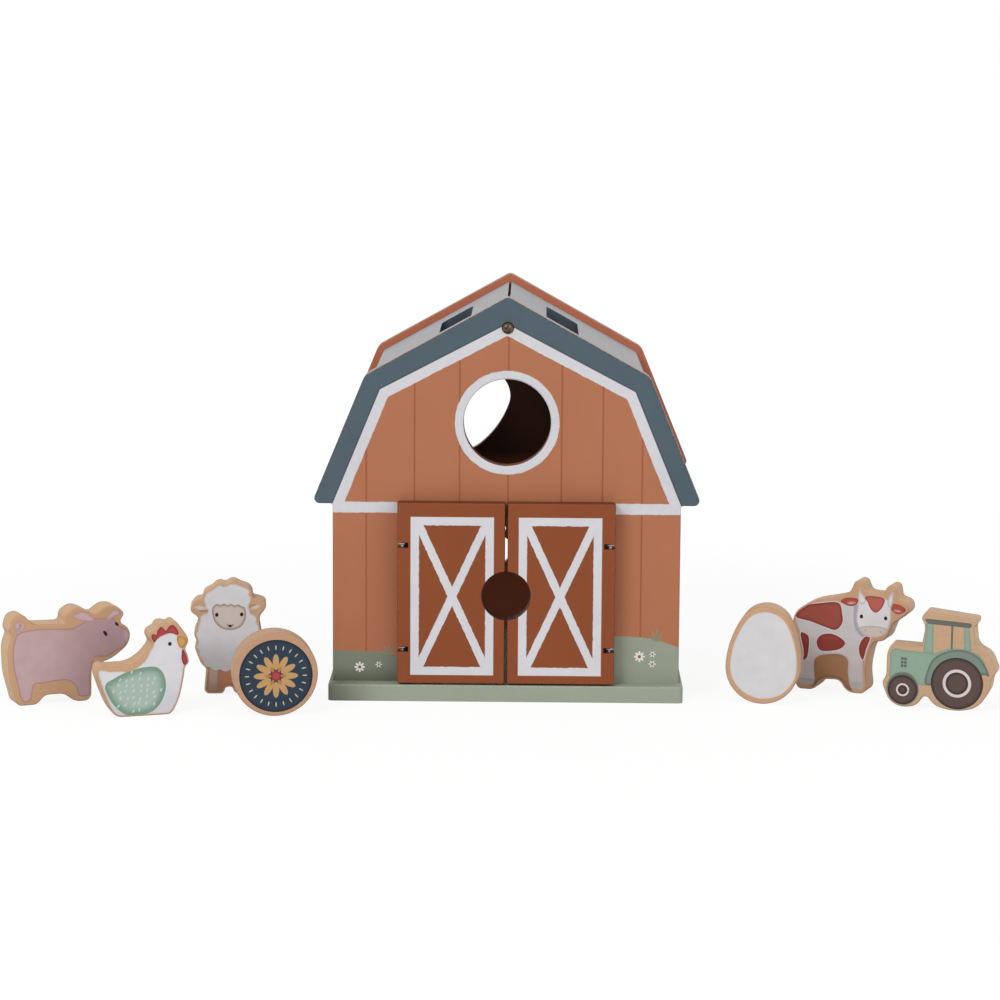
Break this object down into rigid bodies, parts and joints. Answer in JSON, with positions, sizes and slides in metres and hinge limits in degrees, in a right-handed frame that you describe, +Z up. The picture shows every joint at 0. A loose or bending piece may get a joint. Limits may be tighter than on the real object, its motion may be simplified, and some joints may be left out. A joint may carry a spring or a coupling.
{
  "type": "barn shape sorter",
  "caption": "Painted wooden barn with hinged doors, a round window and shaped cut-outs in its walls, with loose wooden animal, egg, disc and tractor blocks standing beside it.",
  "frame": {"origin": "middle of the base board's underside, on the surface that the barn and its blocks stand on", "axes": "+X to the right of someone facing the doors, +Y from the doors into the barn, +Z up"},
  "size_m": [0.5467, 0.2392, 0.2224],
  "materials": {
    "wall_paint": "satin paint over fibreboard",
    "roof_paint": "satin paint",
    "base_paint": "satin paint",
    "door_paint": "satin paint",
    "plain_wood": "sanded",
    "bronze": "dull bronze plating",
    "zinc_steel": "zinc plated",
    "block_wood": "sanded with printed face"
  },
  "bodies": {
    "barn": {"base_plate": "base_paint", "front_gable": "wall_paint", "back_gable": "wall_paint", "left_side_wall": "wall_paint", "right_side_wall": "wall_paint", "left_lower_roof": "roof_paint", "right_lower_roof": "roof_paint", "left_upper_roof": "roof_paint", "right_upper_roof": "roof_paint", "ridge_rail": "plain_wood", "ridge_screws": "bronze", "base_screws": "zinc_steel", "wall_dowels": "plain_wood", "screw_eyes": "zinc_steel"},
    "left_door": {"left_door": "door_paint", "left_hinge_rod": "zinc_steel"},
    "right_door": {"right_door": "door_paint", "right_hinge_rod": "zinc_steel"},
    "pig_block": {"pig_block": "block_wood"},
    "hen_block": {"hen_block": "block_wood"},
    "sheep_block": {"sheep_block": "block_wood"},
    "disc_block": {"disc_block": "block_wood"},
    "egg_block": {"egg_block": "block_wood"},
    "cow_block": {"cow_block": "block_wood"},
    "tractor_block": {"tractor_block": "block_wood"}
  },
  "joints": [
    {"name": "left_door_hinge", "type": "hinge", "parent": "barn", "child": "left_door", "pos_m": [-0.0568, -0.0894, 0.0582], "axis": [0, 0, -1], "range_deg": [0, 110]},
    {"name": "right_door_hinge", "type": "hinge", "parent": "barn", "child": "right_door", "pos_m": [0.0568, -0.0894, 0.0582], "axis": [0, 0, 1], "range_deg": [0, 110]},
    {"name": "pig_block_lift", "type": "slide", "parent": "barn", "child": "pig_block", "axis": [0, 0, 1], "range_m": [0, 0.25]},
    {"name": "hen_block_lift", "type": "slide", "parent": "barn", "child": "hen_block", "axis": [0, 0, 1], "range_m": [0, 0.25]},
    {"name": "sheep_block_lift", "type": "slide", "parent": "barn", "child": "sheep_block", "axis": [0, 0, 1], "range_m": [0, 0.25]},
    {"name": "disc_block_lift", "type": "slide", "parent": "barn", "child": "disc_block", "axis": [0, 0, 1], "range_m": [0, 0.25]},
    {"name": "egg_block_lift", "type": "slide", "parent": "barn", "child": "egg_block", "axis": [0, 0, 1], "range_m": [0, 0.25]},
    {"name": "cow_block_lift", "type": "slide", "parent": "barn", "child": "cow_block", "axis": [0, 0, 1], "range_m": [0, 0.25]},
    {"name": "tractor_block_lift", "type": "slide", "parent": "barn", "child": "tractor_block", "axis": [0, 0, 1], "range_m": [0, 0.25]}
  ]
}
